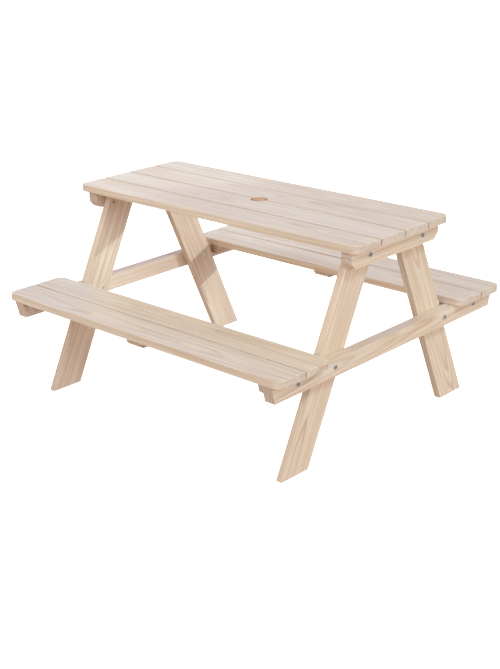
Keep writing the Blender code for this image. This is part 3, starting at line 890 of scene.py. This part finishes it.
def screw_heads(name):
    """Places of the screw heads in the underside of a beam, cleat or batten; the rest have none."""
    if name.startswith("leg"):
        return []
    low, high = span(name)
    middle_x = (low.x + high.x) / 2
    wide = high.x - low.x > WIDE_CARRIER
    spread = (high.x - low.x) / 2 - SCREW_INSET
    heads = []
    for board_name in sorted(BOARDS):
        board_low, board_high = span(board_name)
        first, last = max(low.y, board_low.y), min(high.y, board_high.y)
        if abs(board_low.z - high.z) < REST_GAP and last - first > LEAST_BEARING:
            heads += [(middle_x + shift, (first + last) / 2, low.z)
                      for shift in ((-spread, spread) if wide else (0.0,))]
    return heads


class PICNIC_OT_bolts(Operator):
    """Twelve bolts with their washers and flange nuts"""
    bl_idname = "picnic.bolts"
    bl_label = "Bolts, Washers and Nuts"

    def execute(self, context):
        metal = context.scene.picnic_metal
        low, high = span("top_beam_right")
        beam = high.x - low.x
        for number, (name, (end, y, z)) in enumerate(bolt_axes().items()):
            behind = "bench_cleat_front_right" if name.startswith("cleat") else "leg_front_right"
            thickness = span(behind)[1].x - span(behind)[0].x
            clamped = beam + metal.fit_gap + thickness
            for kind, shape, depth, outwards, slot in (
                    ("bolt", bolt_shape(clamped, metal), 0.0, 1, "dark_bolt_steel"),
                    ("washer", washer_shape(metal), -metal.fit_gap, 1, "zinc_steel"),
                    ("nut", nut_shape(metal), clamped + metal.fit_gap, -1, "zinc_steel")):
                place = (Matrix.Translation((end * (high.x - depth), y, z))
                         @ Matrix.Rotation(end * outwards * math.pi / 2, 4, "Y")
                         @ Matrix.Rotation(HEAD_TURN * number, 4, "Z"))
                bmesh.ops.transform(shape, matrix=place, verts=shape.verts)
                node = f"{name}_{kind}"
                finish_piece(node + "_turned", shape, metal_material(slot), [node])
        return {"FINISHED"}


class PICNIC_OT_screws(Operator):
    """Countersunk screws that hold the boards from below"""
    bl_idname = "picnic.screws"
    bl_label = "Screws"

    def execute(self, context):
        for name in sorted(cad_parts):
            heads = screw_heads(name)
            if heads:
                finish_piece(name + "_screws", joined([screw_shape(head) for head in heads]),
                             metal_material("zinc_steel"))
        return {"FINISHED"}


# Stage

def floor_material(settings):
    """Bright matt studio floor, faintly uneven."""
    material, n, shader = new_material("studio_floor")
    clouds = n.noise(n.add("ShaderNodeTexCoord").outputs["Object"], 1.5, 0.0)
    shade = n.mix(clouds, colour4(settings.floor_colour, 0.985), colour4(settings.floor_colour))
    n.fill(shader, in_Base_Color=shade, in_Roughness=0.9, in_Specular_IOR_Level=0.1,
           in_Emission_Color=WHITE, in_Emission_Strength=settings.floor_glow)
    return material


def camera_axes(settings):
    """Rotation of the camera from its yaw, pitch and roll."""
    return (Matrix.Rotation(settings.camera_yaw, 4, "Z")
            @ Matrix.Rotation(math.pi / 2 + settings.camera_pitch, 4, "X")
            @ Matrix.Rotation(-settings.camera_roll, 4, "Z"))


# Soft lamps: name, azimuth from +X, elevation, width in degrees, strength and colour.
SOFT_LAMPS = (
    ("low_right", 30, 7, 22, 0.69, (0.92, 1.0, 0.92)),
    ("right", 345, 22, 12, 0.71, (0.75, 0.96, 1.0)),
    ("front_right", 310, 30, 12, 0.70, (0.25, 0.55, 1.0)),
    ("high_right", 345, 50, 12, 1.18, (0.60, 0.86, 1.0)),
    ("front", 270, 22, 22, 0.84, (0.90, 1.0, 0.86)),
    ("overhead", 0, 90, 30, 0.62, (0.63, 0.91, 1.0)),
    ("back", 135, 42, 26, 0.50, (0.04, 0.36, 1.0)))


# The key lamp: its colour, how wide it looks from the table, and how soft the edge of its pool of light is.
# The edge passes a point given sideways and upwards as the lamp sees the table, and is turned from upright.
KEY_COLOUR = (0.63, 0.85, 1.0)
KEY_WIDTH = math.radians(0.2)
KEY_BLEND = 0.01
POOL_EDGE, POOL_TURN = (-0.205, 0.34), math.radians(32.0)

# The photograph's camera, in pixels: the picture's height, the focal length and the optical centre's offset.
PICTURE_HEIGHT = 669
FOCAL_PIXELS = 1234.53
CENTRE_X, CENTRE_Y = -59.73, 4.12
SENSOR = 36.0
VIEW_REACH = 200.0
FLOOR_STEPS = 96


def towards(azimuth, elevation):
    """The direction of an azimuth and an elevation in degrees."""
    turn, rise = math.radians(azimuth), math.radians(elevation)
    return Vector((math.cos(rise) * math.cos(turn), math.cos(rise) * math.sin(turn), math.sin(rise)))


def key_lamp(settings):
    """A far spot from the back right, whose pool of light ends across the table's left part."""
    toward = Vector(settings.key_towards).normalized()
    sideways = Vector((toward.y, -toward.x, 0.0)).normalized()
    upwards = sideways.cross(toward)
    aim = (sideways * (POOL_EDGE[0] - settings.key_reach * math.cos(POOL_TURN))
           + upwards * (POOL_EDGE[1] + settings.key_reach * math.sin(POOL_TURN)))
    spot = bpy.data.lights.new("key", "SPOT")
    spot.spot_size = 2 * math.atan(settings.key_reach / settings.key_distance)
    spot.spot_blend = KEY_BLEND
    spot.shadow_soft_size = settings.key_distance * math.tan(KEY_WIDTH)
    spot.energy = settings.key_strength * 4 * math.pi * settings.key_distance ** 2
    spot.color = KEY_COLOUR
    lamp = linked("key", spot)
    lamp.location = aim + toward * settings.key_distance
    lamp.rotation_euler = toward.to_track_quat("Z", "Y").to_euler()


class PICNIC_OT_stage(Operator):
    """Pale floor, soft studio light and the camera"""
    bl_idname = "picnic.stage"
    bl_label = "Stage"

    def execute(self, context):
        scene = context.scene
        settings = scene.picnic_stage
        work = bmesh.new()
        bmesh.ops.create_circle(work, cap_ends=True, segments=FLOOR_STEPS, radius=settings.floor_radius)
        wall = bmesh.ops.extrude_edge_only(work, edges=[edge for edge in work.edges if edge.is_boundary])
        rim = [part for part in wall["geom"] if isinstance(part, bmesh.types.BMVert)]
        bmesh.ops.translate(work, vec=UP * settings.wall_height, verts=rim)
        floor = linked("studio_floor", mesh_of("studio_floor", work))
        floor.data.materials.append(floor_material(settings))
        floor.visible_diffuse = floor.visible_glossy = floor.visible_shadow = False

        world = bpy.data.worlds.new("studio")
        world.use_nodes = True
        sky = world.node_tree.nodes["Background"]
        sky.inputs["Color"].default_value = colour4(settings.bounce_colour)
        sky.inputs["Strength"].default_value = settings.bounce_strength
        scene.world = world

        for name, azimuth, elevation, size, strength, colour in SOFT_LAMPS:
            sun = bpy.data.lights.new(name, "SUN")
            sun.angle = math.radians(size)
            sun.energy = strength
            sun.color = colour
            lamp = linked(name, sun)
            lamp.rotation_euler = towards(azimuth, elevation).to_track_quat("Z", "Y").to_euler()
        key_lamp(settings)

        camera = bpy.data.cameras.new("camera")
        camera.sensor_fit = "AUTO"
        camera.sensor_width = SENSOR
        camera.lens = FOCAL_PIXELS * SENSOR / PICTURE_HEIGHT
        camera.shift_x = -CENTRE_X / PICTURE_HEIGHT
        camera.shift_y = CENTRE_Y / PICTURE_HEIGHT
        camera.clip_end = VIEW_REACH
        eye = linked("camera", camera)
        eye.matrix_world = Matrix.Translation(settings.camera_place) @ camera_axes(settings)
        scene.camera = eye
        scene.view_settings.view_transform = "Standard"
        return {"FINISHED"}


class PICNIC_PT_panel(Panel):
    """Lists the steps that build the table"""
    bl_label = "Picnic Table"
    bl_idname = "PICNIC_PT_panel"
    bl_space_type = "VIEW_3D"
    bl_region_type = "UI"
    bl_category = "Picnic Table"

    def draw(self, context):
        for group, kind in SETTINGS.items():
            box = self.layout.box()
            for name in kind.__annotations__:
                box.prop(getattr(context.scene, group), name)
        for step in STEPS:
            self.layout.operator(step.bl_idname)


SETTINGS = {"picnic_sizes": TimberSizes, "picnic_pine": TimberFinish, "picnic_metal": FastenerFinish,
            "picnic_stage": StageSettings}
STEPS = (PICNIC_OT_boards, PICNIC_OT_top_beams, PICNIC_OT_seat_beams, PICNIC_OT_legs,
         PICNIC_OT_bench_cleats, PICNIC_OT_battens, PICNIC_OT_bolts, PICNIC_OT_screws, PICNIC_OT_stage)


def register():
    """Registers the settings, the steps and the panel."""
    for name, group in SETTINGS.items():
        bpy.utils.register_class(group)
        setattr(bpy.types.Scene, name, PointerProperty(type=group))
    for step in (*STEPS, PICNIC_PT_panel):
        bpy.utils.register_class(step)


def unregister():
    """Takes them out again."""
    for step in reversed((*STEPS, PICNIC_PT_panel)):
        bpy.utils.unregister_class(step)
    for name, group in SETTINGS.items():
        delattr(bpy.types.Scene, name)
        bpy.utils.unregister_class(group)


def main():
    """Builds the table and its stage."""
    register()
    bpy.ops.picnic.boards()
    bpy.ops.picnic.top_beams()
    bpy.ops.picnic.seat_beams()
    bpy.ops.picnic.legs()
    bpy.ops.picnic.bench_cleats()
    bpy.ops.picnic.battens()
    bpy.ops.picnic.bolts()
    bpy.ops.picnic.screws()
    bpy.ops.picnic.stage()


if __name__ == "__main__":
    main()
